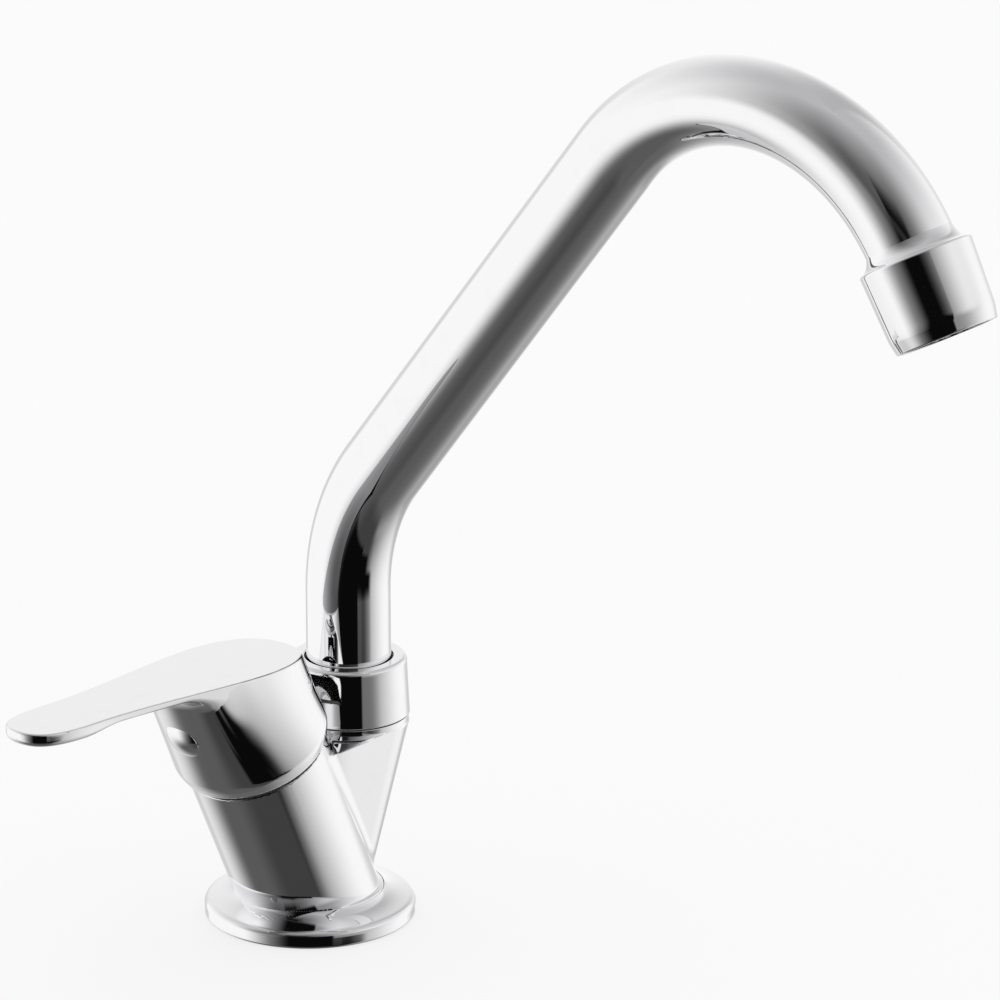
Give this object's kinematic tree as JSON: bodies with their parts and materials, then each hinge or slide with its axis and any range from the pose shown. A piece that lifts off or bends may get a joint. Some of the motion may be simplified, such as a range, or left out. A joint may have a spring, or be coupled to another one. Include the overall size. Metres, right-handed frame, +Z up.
{
  "type": "basin mixer tap",
  "caption": "Deck mixer with a leaning valve barrel, a top lever that turns and lifts, and a swivelling gooseneck spout with an angled outlet.",
  "frame": {"origin": "centre of the flange's underside, on the basin", "axes": "+Z up, -Y towards the lever's tip, +X the way the spout is swung at rest"},
  "size_m": [0.2696, 0.162, 0.2924],
  "materials": {
    "chrome": "polished chrome plate over brass or zinc",
    "brass": "turned, uncoated",
    "steel": "stainless, satin",
    "rubber": "black, matt",
    "white_plastic": "moulded, natural white",
    "ceramic": "ground and lapped alumina"
  },
  "bodies": {
    "body": {"base_flange": "chrome", "base_gasket": "rubber", "mixer_body": "chrome", "cartridge_base": "white_plastic", "port_seals": "rubber", "case_seal": "rubber", "fixed_disc": "ceramic", "cartridge_case": "white_plastic", "cartridge_nut": "brass", "cover_ring": "chrome", "thrust_washer": "white_plastic", "slip_ring": "white_plastic", "collar_nut": "chrome"},
    "spout": {"spout_bush": "brass", "spout_seals": "rubber", "spout_tube": "chrome", "outlet_housing": "chrome", "aerator_washer": "rubber", "aerator_body": "chrome", "flow_former": "white_plastic", "aerator_screen": "steel"},
    "turner": {"turn_collar": "white_plastic", "stem_pin": "steel"},
    "lever": {"lever_stem": "steel", "handle": "chrome", "grub_screw": "steel", "handle_plug": "chrome"},
    "disc": {"disc_carrier": "white_plastic", "moving_disc": "ceramic"}
  },
  "joints": [
    {"name": "spout_swivel", "type": "hinge", "parent": "body", "child": "spout", "pos_m": [0, 0.0184, 0.0604], "axis": [0, 0, 1], "continuous": true},
    {"name": "handle_turn", "type": "hinge", "parent": "body", "child": "turner", "pos_m": [0, -0.02267, 0.05588], "axis": [0, -0.4099, 0.9121], "range_deg": [-45, 45]},
    {"name": "handle_lift", "type": "hinge", "parent": "turner", "child": "lever", "pos_m": [0, -0.02267, 0.05588], "axis": [-1, 0, 0], "range_deg": [0, 18]},
    {"name": "disc_slide", "type": "slide", "parent": "turner", "child": "disc", "axis": [0, -0.9121, -0.4099], "range_m": [0, 0.003]}
  ],
  "couplings": [
    {"joint": "disc_slide", "follows": "handle_lift", "m_per_rad": 0.0094}
  ]
}
